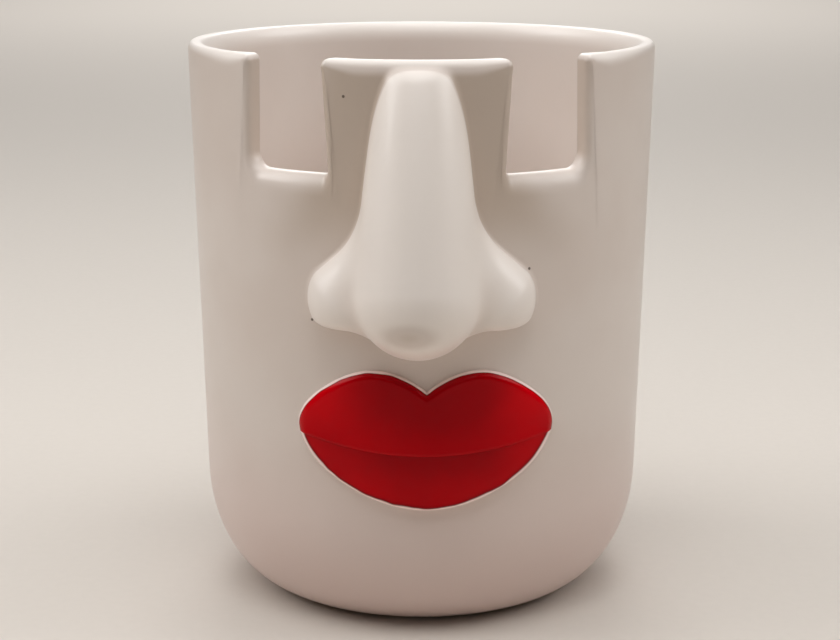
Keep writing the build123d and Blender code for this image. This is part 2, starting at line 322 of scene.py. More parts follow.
def straight_run(start, end, spacing):
    """Even points after the start of a straight run, up to its end."""
    count = max(1, math.ceil(np.linalg.norm(end - start) / spacing))
    share = np.linspace(0, 1, count + 1)[1:, None]
    return start + share * (end - start)


def rounded_path(corners, radii, spacing):
    """Points along straight runs whose corners are arcs.

    At a corner the arc starts where its radius times the tangent of half the turn leaves the corner,
    and swings evenly from one run's direction to the next.
    """
    corners = np.array(corners, float)
    path = corners[:1]
    for before, corner, after, radius in zip(corners[:-2], corners[1:-1], corners[2:], radii):
        ahead = (corner - before) / np.linalg.norm(corner - before)
        onward = (after - corner) / np.linalg.norm(after - corner)
        turn = math.atan2(ahead[0] * onward[1] - ahead[1] * onward[0], ahead @ onward)
        side = math.copysign(1, turn) * np.array([-ahead[1], ahead[0]])
        first = corner - ahead * radius * math.tan(abs(turn) / 2)
        swing = np.linspace(0, abs(turn), ARC_POINTS)[1:, None]
        arc = first + radius * (np.sin(swing) * ahead + (1 - np.cos(swing)) * side)
        path = np.concatenate([path, straight_run(path[-1], first, spacing), arc])
    return np.concatenate([path, straight_run(path[-1], corners[-1], spacing)])


def path_lengths(path):
    """Distance along a path at each of its points, as a share of the whole."""
    steps = np.linalg.norm(np.diff(path, axis=0), axis=1)
    along = np.concatenate([[0], np.cumsum(steps)])
    return along / along[-1]


def soft_step(share):
    """Smooth change from 0 to 1: three times the square less twice the cube."""
    share = np.clip(share, 0, 1)
    return share**2 * (3 - 2 * share)


def notch_half(vessel):
    """Half of a notch's width at the rim, measured round the outside."""
    return math.asin(vessel.notch_width / 2 / vessel.rim_radius) * vessel.rim_radius


def edge_roundings(vessel, across, height):
    """Roundings at points of the rim's right half, five numbers for each point.

    Outside: across the wall, sideways along it and down it.  Inside: across the wall and along it.  The
    outside ones shrink to fit a tight top corner, are full along the sill and the rim's front, and shrink
    again towards the back.  The inside ones are small along a notch and grow along the rim.  Across is
    measured round the outside from the notch's middle.
    """
    top_corner = np.where(across < 0, vessel.panel_top_corner, vessel.outer_top_corner)
    sill_corner = np.where(across < 0, vessel.notch_panel_corner, vessel.notch_outer_corner)
    rim_run = np.maximum(np.abs(across) - notch_half(vessel) - top_corner, 0)
    from_corner = rim_run + np.maximum(vessel.height - height - top_corner, 0)
    above_sill = height - vessel.height + vessel.notch_depth
    on_sill = soft_step(1 - above_sill / sill_corner)
    on_rim = soft_step(rim_run / RIM_ROUND_RUN)
    on_back = np.where(across < 0, 0, soft_step(rim_run / BACK_ROUND_RUN))

    sideways = np.minimum(vessel.edge_round, CORNER_ROUND_SHARE * top_corner + ROUND_GROWTH * from_corner)
    outer = sideways + on_sill * (vessel.sill_round - vessel.edge_round)
    outer = outer + on_back * (vessel.back_round - vessel.edge_round)
    rim_drop = sideways + on_rim * (vessel.rim_drop - vessel.edge_round)
    rim_drop = rim_drop + on_back * (vessel.back_drop - vessel.rim_drop)
    drop = np.where(above_sill > vessel.notch_depth / 2, rim_drop, vessel.sill_drop)
    inner = vessel.side_round + on_rim * (vessel.rim_round - vessel.side_round)
    fall = vessel.side_round + on_rim * (vessel.rim_fall - vessel.side_round)
    return np.stack([outer, sideways, drop, inner, fall])


def rim_loop(vessel):
    """The rim with its notches, unrolled: distance round the outside and height, for a whole turn.

    Each point also has its place on the even ring far below, where the panel's sides take up the outer
    half of the panel and the notches' outer sides take up a stretch of the wall beside them, and it has
    its roundings.
    """
    middle = vessel.notch_angle * vessel.rim_radius
    half = notch_half(vessel)
    wide = half + vessel.notch_flare
    back = math.pi * vessel.rim_radius
    top = vessel.height
    sill = top - vessel.notch_depth
    corners = [
        (0, top),
        (middle - half, top),
        (middle - wide, sill),
        (middle + wide, sill),
        (middle + half, top),
        (back, top),
    ]
    radii = [
        vessel.panel_top_corner,
        vessel.notch_panel_corner,
        vessel.notch_outer_corner,
        vessel.outer_top_corner,
    ]
    right = rounded_path(corners, radii, RIM_SPACING)
    panel = middle - wide
    outer = middle + wide
    low = [0, PANEL_SHARE * panel, panel, outer, outer + OUTER_SPREAD, back]
    right_low = np.interp(path_lengths(right), path_lengths(np.array(corners)), low)
    roundings = edge_roundings(vessel, right[:, 0] - middle, right[:, 1])
    left = right[-2:0:-1] * (-1, 1) + (2 * back, 0)
    left_low = 2 * back - right_low[-2:0:-1]
    loop = np.concatenate([right, left])
    low = np.concatenate([right_low, left_low])
    return loop, low, np.concatenate([roundings, roundings[:, -2:0:-1]], axis=1)


def loop_normals(loop, whole_turn):
    """Directions that point out of the wall, square to an unrolled loop."""
    after = np.roll(loop, -1, axis=0)
    before = np.roll(loop, 1, axis=0)
    after[-1, 0] += whole_turn
    before[0, 0] -= whole_turn
    along = after - before
    along /= np.linalg.norm(along, axis=1, keepdims=True)
    return np.stack([-along[:, 1], along[:, 0]], axis=-1)


def inner_slide(vessel, turn):
    """Turn from the outer to the inner edge of a notch, whose two sides are parallel, not radial."""
    near, far = NOTCH_WINDOW
    offset = (turn + math.pi) % (2 * math.pi) - math.pi
    from_notch = np.abs(offset) - vessel.notch_angle
    across = vessel.rim_radius * np.sin(np.clip(from_notch, -far, far))
    slide = np.arcsin(across / (vessel.rim_radius - vessel.wall)) - np.arcsin(across / vessel.rim_radius)
    return np.sign(offset) * slide * soft_step((far - np.abs(from_notch)) / (far - near))


def corner_profile(vessel, reach, rise, inset):
    """Radius and height along the bottom corner: an elliptic quarter that meets the wall without a kink."""
    lean = math.tan(vessel.wall_lean)
    end = math.atan2(reach, rise * lean)
    turn = np.linspace(0, end, CORNER_ROWS)
    end_height = vessel.corner_rise - rise * math.cos(end)
    centre = wall_radius(vessel, end_height) - inset - reach * math.sin(end)
    return np.stack([centre + reach * np.sin(turn), vessel.corner_rise - rise * np.cos(turn)], axis=-1)


def around(radius, turn, height):
    """Points at a radius, a turn from the front and a height."""
    radius, turn, height = np.broadcast_arrays(radius, turn, height)
    return np.stack([radius * np.sin(turn), -radius * np.cos(turn), height], axis=-1)


def turned(points, turn):
    """Points turned about the vase's axis, from the front to the right."""
    x, y = points[..., 0], points[..., 1]
    across = x * math.cos(turn) - y * math.sin(turn)
    ahead = x * math.sin(turn) + y * math.cos(turn)
    return np.stack([across, ahead, points[..., 2]], axis=-1)


def bottom_profiles(vessel):
    """Radius and height along the bottom, outside and inside.

    Outside it runs from the recess under the foot, round the foot ring and up the bottom corner.  Inside it
    runs down the corner and in along the floor.
    """
    outer_corner = corner_profile(vessel, vessel.corner_reach, vessel.corner_rise, 0)
    floor_top = vessel.foot_recess + vessel.floor
    inner_corner = corner_profile(
        vessel, vessel.corner_reach - vessel.wall, vessel.corner_rise - floor_top, vessel.wall
    )
    ring_inside = outer_corner[0, 0] - vessel.foot_ring
    pole_ring = POLE_RING_SHARE * ring_inside
    foot_corners = [
        (pole_ring, vessel.foot_recess),
        (ring_inside, vessel.foot_recess),
        (ring_inside, 0),
        outer_corner[0],
    ]
    foot = rounded_path(foot_corners, [vessel.foot_round] * 2, FOOT_STEP_SHARE * ring_inside)
    floor_radius = np.linspace(inner_corner[0, 0], pole_ring, FLOOR_ROWS)[1:]
    floor_rows = np.stack([floor_radius, np.full(FLOOR_ROWS - 1, floor_top)], axis=-1)
    return np.concatenate([foot, outer_corner[1:]]), np.concatenate([inner_corner[::-1], floor_rows])


def vessel_surface(vessel):
    """Rings from the recess under the foot, up the outside, over the edge and down to the inner floor.

    Columns fan out from an even ring above the bottom corner to the notched rim.  Over the edge a ring
    lies a depth behind the rim's line and a share of the wall inwards: two quarter ellipses and a land.
    The last result is how much paler or darker the glaze is painted: 1 on top of the rim and less on a sill,
    thin glaze with painted highlight; under 0 on a notch's sides, painted shade; 0 on the outside of the
    wall; and inside a painted highlight that runs out to the floor.
    """
    loop, low, (outer_round, outer_side, outer_drop, inner_round, inner_fall) = rim_loop(vessel)
    normals = loop_normals(loop, 2 * math.pi * vessel.rim_radius)
    base_turn = low / vessel.rim_radius
    below, above = bottom_profiles(vessel)

    outer_fall = np.stack([outer_side, outer_drop], axis=-1) * normals
    inset = loop - outer_fall
    base = np.stack([low, np.full(len(loop), below[-1, 1])], axis=-1)
    share = np.linspace(0, 1, WALL_ROWS)[1:-1, None, None]
    outside = base + share * (inset - base)
    outside_rows = around(
        wall_radius(vessel, outside[..., 1]), outside[..., 0] / vessel.rim_radius, outside[..., 1]
    )

    swing = np.linspace(0, math.pi / 2, EDGE_ROWS)
    fall = 1 - np.sin(swing)[:, None]
    reach = 1 - np.cos(swing)[:, None]
    inner_fall = inner_fall[:, None] * normals
    depth = np.concatenate([fall[..., None] * outer_fall, fall[::-1, :, None] * inner_fall])
    inwards = np.concatenate([reach * outer_round, vessel.wall - reach[::-1] * inner_round])
    edge = loop - depth
    edge_turn = edge[..., 0] / vessel.rim_radius
    edge_turn = edge_turn + inner_slide(vessel, edge_turn) * inwards / vessel.wall
    edge_rows = around(wall_radius(vessel, edge[..., 1]) - inwards, edge_turn, edge[..., 1])

    inner_start = np.stack([edge_turn[-1], edge[-1, :, 1]], axis=-1)
    inner_end = np.stack([base_turn, np.full(len(loop), above[0, 1])], axis=-1)
    share = np.linspace(0, 1, INNER_ROWS)[1:-1, None, None]
    inside = inner_start + share * (inner_end - inner_start)
    inside_rows = around(wall_radius(vessel, inside[..., 1]) - vessel.wall, inside[..., 0], inside[..., 1])
    rows = [
        around(below[:, :1], base_turn, below[:, 1:]),
        outside_rows,
        edge_rows,
        inside_rows,
        around(above[:, :1], base_turn, above[:, 1:]),
    ]
    poles = np.array([[0, 0, below[0, 1]], [0, 0, above[-1, 1]]])
    vertices, faces = closed_tube(turned(np.concatenate(rows), vessel.notch_turn), *poles)

    # Painted highlight and shade: paler on the rim's top, the sills and the inner wall, partly thin glaze;
    # darker on a notch's sides, where shade falls
    upper = np.where(loop[:, 1] > vessel.height - vessel.notch_depth / 2, 1, SILL_THIN_AND_LIGHT_SHARE)
    crest = upper * np.maximum(normals[:, 1], 0) - SIDE_SHADE_SHARE * normals[:, 0] ** 2
    thin_and_painted_light = [
        np.zeros((len(below) + len(outside_rows), len(loop))),
        (1 - fall) * crest,
        INNER_LIGHT_SHARE + (1 - fall[::-1]) * (crest - INNER_LIGHT_SHARE),
        np.tile(INNER_LIGHT_SHARE * (1 - share[:, 0]), len(loop)),
        np.zeros((len(above), len(loop))),
    ]
    return vertices, faces, np.append(np.concatenate(thin_and_painted_light), [0, 0])


def foot_faces(vessel, mesh, vertices):
    """1 for each face of the bare ring that the vase stands on, 0 for glazed ones."""
    corners = np.empty(len(mesh.loops), np.int32)
    mesh.loops.foreach_get("vertex_index", corners)
    first_corners = np.empty(len(mesh.polygons), np.int32)
    mesh.polygons.foreach_get("loop_start", first_corners)
    highest = np.maximum.reduceat(vertices[corners, 2], first_corners)
    return (highest < vessel.foot_recess / 2).astype(np.int32)


# Nose

# Rows, columns and rays of the mesh
BRIDGE_POINTS = 45
NOSE_COLUMNS = 141
NOSE_TOP_ROWS = 14
NOSE_LEVEL_ROWS = 70
NOSE_UNDER_ROWS = 56
NOSE_LOW_DEPTH = 16 * MM
NOSE_TOP_DEPTH = 6 * MM
NOSE_TOP_PIVOT = 4 * MM
NOSE_UNDER_TURN = math.radians(54)
NOSE_UNDER_SIDE = math.radians(70)
NOSE_SIDE_RANGE = (math.radians(15), math.radians(86))
SEARCH_STEPS = 36
NOSE_SINK = 0.006 * MM
NOSE_SEAT = 0.3 * MM

# Where the nose's glaze is paler, partly thin glaze and partly painted highlight, and where painted shade
# darkens it: a painted shadow under the tip and painted shade in the creases
GLAZE_ROOT_STAND = 0.3 * MM
GLAZE_THIN_STAND = 1.4 * MM
NOSE_THIN_AND_HIGHLIGHT = 0.65
UNDER_TIP_SIZE = (9 * MM, 4.5 * MM)
UNDER_TIP_DROP = 6.8 * MM
UNDER_TIP_SHIFT = -2 * MM
UNDER_TIP_SHADOW = 0.65
CREASE_WIDTH = 7 * MM
CREASE_RISE = 8 * MM
CREASE_SHADE = 0.15
# Painted shade on the wall beside the nose: how far from the nose it reaches, and how it rises above the
# wings
PAINTED_SHADE_RANGE = (7 * MM, 22 * MM)
PAINTED_SHADE_RISE = 30 * MM


def soft_union(first, second, blend):
    """The smaller of two distances, lowered by up to a quarter of the blend where they are close."""
    overlap = np.maximum(blend - np.abs(first - second), 0) / blend
    return np.minimum(first, second) - overlap**2 * blend / 4


def soft_overlap(first, second, blend):
    """The larger of two distances, rounded in the same way."""
    return -soft_union(-first, -second, blend)


def on_wall(vessel, x, z, stand):
    """Point that stands clear of the wall by the stand, in front of it."""
    return np.array([x, -math.sqrt(wall_radius(vessel, z) ** 2 - x**2) - stand, z])


def rounded_bar(points, start, end, start_radius, end_radius, draft):
    """Distance to a bar with ball ends, less its radius, which runs straight back into the wall.

    Behind the bar's own line the distance is measured level with that line, less the mould's draft.
    """
    fall = np.clip((points[..., 2] - start[2]) / (end[2] - start[2]), 0, 1)
    behind = np.maximum(points[..., 1] - start[1] - fall * (end[1] - start[1]), 0)
    level = points - behind[..., None] * np.array([0, 1, 0])
    along = end - start
    share = np.clip((level - start) @ along / (along @ along), 0, 1)
    gap = np.linalg.norm(level - start - share[..., None] * along, axis=-1)
    return gap - start_radius - share * (end_radius - start_radius) - behind * draft


def bridge_line(vessel, nose):
    """Middle points down the bridge, each with its radius: a quadratic curve drawn towards the bend."""
    marks = [
        (nose.bridge_shift, vessel.height, nose.bridge_stand, nose.bridge_radius),
        (nose.bend_shift, nose.bend_height, nose.bend_stand, nose.bend_radius),
        (nose.tip_shift, nose.tip_height, nose.tip_stand, nose.tip_radius),
    ]
    top, bend, tip = [np.append(on_wall(vessel, x, z, stand - size), size) for x, z, stand, size in marks]
    share = np.linspace(0, 1, BRIDGE_POINTS)[:, None]
    return (1 - share) ** 2 * top + 2 * share * (1 - share) * bend + share**2 * tip


def nose_parts(vessel, nose, points):
    """Distances to the curved bridge with its ball tip and to the two wings with their flat underside."""
    line = bridge_line(vessel, nose)
    bridge = np.full(points.shape[:-1], np.inf)
    for start, end in zip(line[:-1], line[1:]):
        bar = rounded_bar(points, start[:3], end[:3], start[3], end[3], nose.draft)
        bridge = np.minimum(bridge, bar)

    right_half = np.concatenate([np.abs(points[..., :1]), points[..., 1:]], axis=-1)
    wing_low = on_wall(vessel, nose.wing_spread, nose.wing_height, nose.wing_stand - nose.wing_radius)
    wing_top = on_wall(
        vessel, nose.wing_top_spread, nose.wing_top_height, nose.wing_top_stand - nose.wing_top_radius
    )
    wing = rounded_bar(right_half, wing_low, wing_top, nose.wing_radius, nose.wing_top_radius, nose.draft)
    return bridge, soft_overlap(wing, nose.wing_underside - points[..., 2], nose.underside_blend)


def nose_distance(vessel, nose, points):
    """Distance to the nose: bridge and wings run together, under a level top."""
    whole = soft_union(*nose_parts(vessel, nose, points), nose.blend)
    top = vessel.height - nose.top_drop
    return soft_overlap(whole, points[..., 2] - top, nose.top_round)


def vessel_distance(vessel, points):
    """Distance to the filled vessel, whose rim is rounded outside by a quarter ellipse.

    Over the ellipse's middle both ways are measured in shares of its two half axes.
    """
    radius = np.linalg.norm(points[..., :2], axis=-1)
    out = (radius - wall_radius(vessel, points[..., 2])) * math.cos(vessel.wall_lean) / vessel.edge_round + 1
    up = (points[..., 2] - vessel.height) / vessel.rim_drop + 1
    beyond = np.hypot(np.maximum(out, 0), np.maximum(up, 0))
    return (np.minimum(np.maximum(out, up), 0) + beyond - 1) * vessel.edge_round


def last_holding(test, low, high, shape):
    """The number, in a range, up to which a test holds, found for a whole array by halving the range."""
    low = np.full(shape, low)
    high = np.full(shape, high)
    for _ in range(SEARCH_STEPS):
        middle = (low + high) / 2
        holds = test(middle)
        low = np.where(holds, middle, low)
        high = np.where(holds, high, middle)
    return low


def first_surface(distance, start, rays, reach):
    """How far along each ray a distance stays under 0."""

    def solid(far):
        return distance(start + far[..., None] * rays) < 0

    return last_holding(solid, 0.0, reach, rays.shape[:-1])


def ray_fan(dips, turns):
    """Directions that look to the front, dip by an angle and then turn to the side."""
    across, dips = np.broadcast_arrays(np.sin(turns), dips)
    ahead = np.cos(turns)
    return np.stack([across, -ahead * np.cos(dips), -ahead * np.sin(dips)], axis=-1)


def nose_surface(vessel, nose):
    """Front and back grids of the nose.

    Rays start on a line inside the vase: they tip up over the rim, lie level down to the tip's height
    and dip under the nose.  Each row turns as far as the nose's hollow fillet reaches on the wall.
    The front is where the soft union of nose and vessel ends along a ray, the back lies on the wall.
    """
    top_pivot = vessel.height - NOSE_TOP_PIVOT
    top_tip = math.atan2(NOSE_TOP_PIVOT, NOSE_TOP_DEPTH - vessel.wall / 2)
    level = np.linspace(top_pivot, nose.tip_height, NOSE_LEVEL_ROWS)
    top_dips = np.linspace(-top_tip, 0, NOSE_TOP_ROWS)[:-1]
    under_dips = np.linspace(0, NOSE_UNDER_TURN, NOSE_UNDER_ROWS)[1:]
    heights = np.pad(level, (len(top_dips), len(under_dips)), mode="edge")
    dips = np.concatenate([top_dips, np.zeros(len(level)), under_dips])[:, None]
    depth = np.interp(heights, [nose.tip_height, top_pivot], [NOSE_LOW_DEPTH, NOSE_TOP_DEPTH])
    line = bridge_line(vessel, nose)[::-1]
    middle = np.interp(heights, line[:, 2], line[:, 0])
    start = np.stack([middle, depth - wall_radius(vessel, heights), heights], axis=-1)[:, None]
    reach = NOSE_LOW_DEPTH + 2 * nose.tip_stand

    def to_vessel(points):
        return vessel_distance(vessel, points)

    def to_nose(points):
        return nose_distance(vessel, nose, points)

    def to_both(points):
        return soft_union(to_nose(points), to_vessel(points), nose.root_blend)

    def near_nose(turns):
        rays = ray_fan(dips, turns)
        on_vessel = start + first_surface(to_vessel, start, rays, reach)[..., None] * rays
        return to_nose(on_vessel) < nose.root_blend

    limit = last_holding(near_nose, *NOSE_SIDE_RANGE, dips.shape)[:, 0]
    first = len(top_dips)
    last = first + len(level) - 1
    limit[:first] = limit[first]
    under_share = (under_dips / NOSE_UNDER_TURN) ** 2
    limit[last + 1 :] = limit[last] + (NOSE_UNDER_SIDE - limit[last]) * under_share

    turns = limit[:, None] * np.linspace(-1, 1, NOSE_COLUMNS)
    rays = ray_fan(dips, turns)
    front = start + (first_surface(to_both, start, rays, reach) - NOSE_SINK)[..., None] * rays
    back = start + (first_surface(to_vessel, start, rays, reach) - NOSE_SEAT)[..., None] * rays
    return closed_sheet(front[::-1], back[::-1])


def nose_painted_light(vessel, nose, vertices):
    """How much paler or darker the glaze is painted on the nose: as on the wall at its root, paler where it
    stands well clear, partly thin glaze and partly painted highlight.

    Painted shade darkens the creases between tip and wings, where the distances to both are alike, and a
    painted shadow under the tip lies in a patch that falls off with the distance from the patch's middle.
    """
    radius = np.linalg.norm(vertices[:, :2], axis=1)
    stand = radius - wall_radius(vessel, vertices[:, 2])
    clear = soft_step((stand - GLAZE_ROOT_STAND) / GLAZE_THIN_STAND)
    rim = np.clip(1 - (vessel.height - vertices[:, 2]) / vessel.rim_drop, 0, 1)
    at_root = rim - (1 - rim) * nose_painted_shade(vessel, nose, vertices)
    across = (vertices[:, 0] - nose.tip_shift - UNDER_TIP_SHIFT) / UNDER_TIP_SIZE[0]
    up = (vertices[:, 2] - nose.tip_height + UNDER_TIP_DROP) / UNDER_TIP_SIZE[1]
    under_tip_shadow = soft_step(1 - np.hypot(across, up)) * (stand > nose.tip_stand / 2) * UNDER_TIP_SHADOW
    bridge, wing = nose_parts(vessel, nose, vertices)
    crease_shade = soft_step(1 - np.abs(bridge - wing) / CREASE_WIDTH) * CREASE_SHADE
    crease_shade = crease_shade * soft_step((nose.tip_height + CREASE_RISE - vertices[:, 2]) / CREASE_RISE)
    painted_shade = np.maximum(under_tip_shadow, crease_shade)
    return (1 - clear) * at_root + clear * (NOSE_THIN_AND_HIGHLIGHT * (1 - painted_shade) - painted_shade)


def nose_painted_shade(vessel, nose, vertices):
    """How much painted shade lies on the wall: 1 in the corner by the nose, 0 well away from it.

    It falls off with the distance to the nose, and holds only for the outside of the wall.
    """
    radius = np.linalg.norm(vertices[:, :2], axis=1)
    outside = radius > wall_radius(vessel, vertices[:, 2]) - vessel.wall / 2
    front = outside & (vertices[:, 1] < 0)
    gap = np.full(len(vertices), np.inf)
    gap[front] = nose_distance(vessel, nose, vertices[front])
    near, far = PAINTED_SHADE_RANGE
    beside = soft_step((vertices[:, 2] - nose.wing_height) / PAINTED_SHADE_RISE)
    return soft_step((far - gap) / (far - near)) * beside


# Lips

# Grid and form
LIP_COLUMNS = 161
LIP_ROWS = 61
OUTLINE_POINTS = 300
NEAREST_POINTS = 1200
LIP_SEAT = 0.3 * MM
LIP_CORNER_FALL = 0.4
LIP_HOLLOW = 0.25 * MM

# Painted shade on the red: where it is darkest, and how it fades
SHADE_HALF = 10 * MM
SHADE_FADE = 21 * MM
UPPER_SHADE = 0.6
UPPER_SHADE_RISE = 13 * MM
LOWER_SHADE = 0.55
LOWER_SHADE_FALL = 12 * MM


def curve_through(points, start_slope, end_slope, count):
    """Smooth curve through a few points with given end directions.

    It is a cubic spline over the straight distance between the points: each span is a Hermite cubic, and
    the directions at the inner points are those for which the curvature doesn't jump.
    """
    points = np.array(points, float)
    span = np.linalg.norm(np.diff(points, axis=0), axis=1)
    knots = np.concatenate([[0], np.cumsum(span)])
    last = len(points) - 1
    matrix = np.eye(last + 1)
    wanted = np.zeros_like(points)
    wanted[0] = np.array(start_slope) / np.linalg.norm(start_slope)
    wanted[last] = np.array(end_slope) / np.linalg.norm(end_slope)
    for place in range(1, last):
        before, after = span[place - 1], span[place]
        matrix[place, place - 1 : place + 2] = after, 2 * (before + after), before
        rise_before = (points[place] - points[place - 1]) / before
        rise_after = (points[place + 1] - points[place]) / after
        wanted[place] = 3 * (after * rise_before + before * rise_after)
    slopes = np.linalg.solve(matrix, wanted)

    at = np.linspace(0, knots[-1], count)
    part = np.clip(np.searchsorted(knots, at, side="right") - 1, 0, last - 1)
    share = ((at - knots[part]) / span[part])[:, None]
    wide = span[part][:, None]
    here, there = points[part], points[part + 1]
    leave, arrive = slopes[part] * wide, slopes[part + 1] * wide
    rising = here + share * leave + share**2 * (3 * (there - here) - 2 * leave - arrive)
    return rising + share**3 * (2 * (here - there) + leave + arrive)


def both_sides(half):
    """A curve and its mirror image, from the left end to the right end."""
    return np.concatenate([half[:0:-1] * (-1, 1), half])


def points_at(curve, share):
    """Points at given shares of a curve's length."""
    along = path_lengths(curve)
    return np.stack([np.interp(share, along, curve[:, 0]), np.interp(share, along, curve[:, 1])], axis=-1)


def parting_curve(lips):
    """The line where the lips meet: an arc that is level in the middle and rises to the corners."""
    rise = lips.parting_end - lips.parting
    radius = (lips.parting_end_at**2 + rise**2) / (2 * rise)
    x = np.linspace(-lips.parting_end_at, lips.parting_end_at, OUTLINE_POINTS)
    return np.stack([x, lips.parting + radius - np.sqrt(radius**2 - x**2)], axis=-1)


def bow_curve(lips):
    """Upper edge of the upper lip: a smooth curve through dip, peaks, shoulders and corners."""
    half = curve_through(
        [
            (0, lips.bow_dip),
            (lips.bow_peak_at, lips.bow_peak),
            (lips.bow_shoulder_at, lips.bow_shoulder),
            (lips.half_width, lips.corner),
        ],
        (1, lips.bow_dip_slope),
        (0, -1),
        OUTLINE_POINTS,
    )
    end = np.array([[lips.parting_end_at, lips.parting_end]])
    return both_sides(np.concatenate([half, end]))


def belly_curve(lips):
    """Lower edge of the lower lip: a smooth curve through bottom, sides, cheeks and corners."""
    half = curve_through(
        [
            (0, lips.bottom),
            (lips.side_at, lips.side),
            (lips.cheek_at, lips.cheek),
            (lips.parting_end_at, lips.parting_end),
        ],
        (1, 0),
        (1, lips.end_slope),
        OUTLINE_POINTS,
    )
    return both_sides(half)


def distance_to(points, curve):
    """Distance from each point of a grid to the nearest point of a curve."""
    flat = points.reshape(-1, 2)
    dense = points_at(curve, np.linspace(0, 1, NEAREST_POINTS))
    nearest = np.min(np.hypot(flat[:, :1] - dense[:, 0], flat[:, 1:] - dense[:, 1]), axis=1)
    return nearest.reshape(points.shape[:-1])


def round_rise(distance, width):
    """A quarter ellipse: rises from 0 at an edge to 1 at a width from it."""
    return np.sqrt(1 - (1 - np.clip(distance / width, 0, 1)) ** 2)


def place_on_wall(vessel, lips, flat, stand):
    """Points in front of the wall by a stand, turned to the lips' place."""
    x, z = flat[..., 0], flat[..., 1]
    y = -np.sqrt(wall_radius(vessel, z) ** 2 - x**2) - stand
    return turned(np.stack([x, y, z], axis=-1), lips.shift / wall_radius(vessel, lips.parting))


def lip_grid(inner, outer):
    """Flat grid from the parting line to the outline, with rows gathered at both edges."""
    share = (1 - np.cos(np.linspace(0, math.pi, LIP_ROWS))) / 2
    places = (1 - np.cos(np.linspace(0, math.pi, LIP_COLUMNS))) / 2
    start = points_at(inner, places)
    end = points_at(outer, places)
    return share, start + share[:, None, None] * (end - start)


def lip_crown(lips, outline, parting_stand, edge_stand, swell):
    """What both lips have in common, on the grid between the parting line and an outline.

    The stand runs straight from the parting line to the edge, plus a half wave of the swell.  It falls off
    sideways with the square of the distance from the middle, and rounds off over the shoulder.  Results:
    the flat grid, the stand, its sideways share, both distances and how near a point is to the middle.
    """
    parting = parting_curve(lips)
    share, flat = lip_grid(parting, outline)
    sideways = 1 - LIP_CORNER_FALL * (flat[..., 0] / lips.half_width) ** 2
    slope = parting_stand + share * (edge_stand - parting_stand)
    crown = (slope + swell * np.sin(math.pi * share))[:, None] * sideways
    to_outline = distance_to(flat, outline)
    stand = crown * round_rise(to_outline, lips.shoulder)
    middle = 1 - soft_step((np.abs(flat[..., 0]) - SHADE_HALF) / SHADE_FADE)
    return flat, stand, sideways, to_outline, distance_to(flat, parting), middle


def upper_lip_surface(lips):
    """Upper lip: stands higher towards the parting line, with a slight hollow, and laps over it.

    Painted shade darkens the red most in the middle, under the bow, least at the corners, and evenly along
    the parting line.
    """
    stands = lips.upper_parting_stand, lips.upper_edge_stand
    crown = lip_crown(lips, bow_curve(lips), *stands, -LIP_HOLLOW)
    flat, stand, sideways, to_outline, to_parting, middle = crown
    stand = stand - (1 - round_rise(to_parting, lips.lap)) * lips.lap * sideways
    red_shade = UPPER_SHADE + (middle - UPPER_SHADE) * soft_step(to_parting / UPPER_SHADE_RISE)
    return flat, np.maximum(stand, 0), to_outline / lips.upper_line, red_shade


def lower_lip_surface(lips):
    """Lower lip: starts under the lap of the upper lip and swells gently to its edge.

    A painted shadow darkens the red under the lap, most in the middle, and fades to an even shade further
    down.
    """
    stands = lips.lower_parting_stand, lips.lower_edge_stand
    crown = lip_crown(lips, belly_curve(lips), *stands, LIP_HOLLOW)
    flat, stand, _, to_outline, to_parting, middle = crown
    lap_shadow = soft_step(1 - to_parting / LOWER_SHADE_FALL)
    red_shade = LOWER_SHADE + (1 - LOWER_SHADE) * middle * lap_shadow
    return flat, stand, to_outline / lips.lower_line, red_shade


def add_lip(name, vessel, lips, surface, material, node, step):
    """A lip as a closed piece: its crowned front and a back that is seated on the wall.

    The step is 1 or -1, the order of the rows in which the faces point outwards.
    """
    flat, stand, reach, red_shade = surface(lips)
    front = place_on_wall(vessel, lips, flat, stand)
    back = place_on_wall(vessel, lips, flat, -LIP_SEAT)
    vertices, faces = closed_sheet(front[::step], back[::step])
    piece = add_piece(name, vertices, faces, [material], node)
    add_attribute(piece, "brush_reach", np.tile(reach[::step], (2, 1)))
    add_attribute(piece, "red_painted_shade", np.tile(red_shade[::step], (2, 1)))


# Materials

# Sockets of a Mix node that mixes two colours
MIX_FACTOR = 0
MIX_UNDER = 6
MIX_OVER = 7
MIX_RESULT = 2

# A pattern is given by one over the size of its lumps, and by how many finer layers it has
GLAZE_CLOUD = {"Scale": 1 / (45 * MM), "Detail": 3}
GLAZE_CLOUD_SPAN = (0.35, 0.65)
GLAZE_RIPPLE = {"Scale": 1 / (9 * MM), "Detail": 1}
GLAZE_RIPPLE_HEIGHT = 0.02 * MM
GLOSS_CLOUD = {"Scale": 1 / (18 * MM), "Detail": 2}
# The clay's real grain is finer, and is drawn as coarse as it needs to show
CLAY_GRAIN = {"Scale": 1 / (0.6 * MM), "Detail": 4}
CLAY_GRAIN_HEIGHT = 0.05 * MM
RED_CLOUD = {"Scale": 1 / (20 * MM), "Detail": 2}
RED_CLOUD_SHARE = 0.12
BRUSH_WANDER = {"Scale": 1 / (6 * MM), "Detail": 1}
BRUSH_SWING = 0.2
FLOOR_GRAIN = {"Scale": 1 / (3 * MM), "Detail": 2}
FLOOR_GRAIN_HEIGHT = 0.02 * MM
PATTERN_SPAN = (0.3, 0.7)

# Gloss, and where the coats of colour lie
GLAZE_IOR = 1.5
GLAZE_ROUGHNESS = (0.28, 0.36)
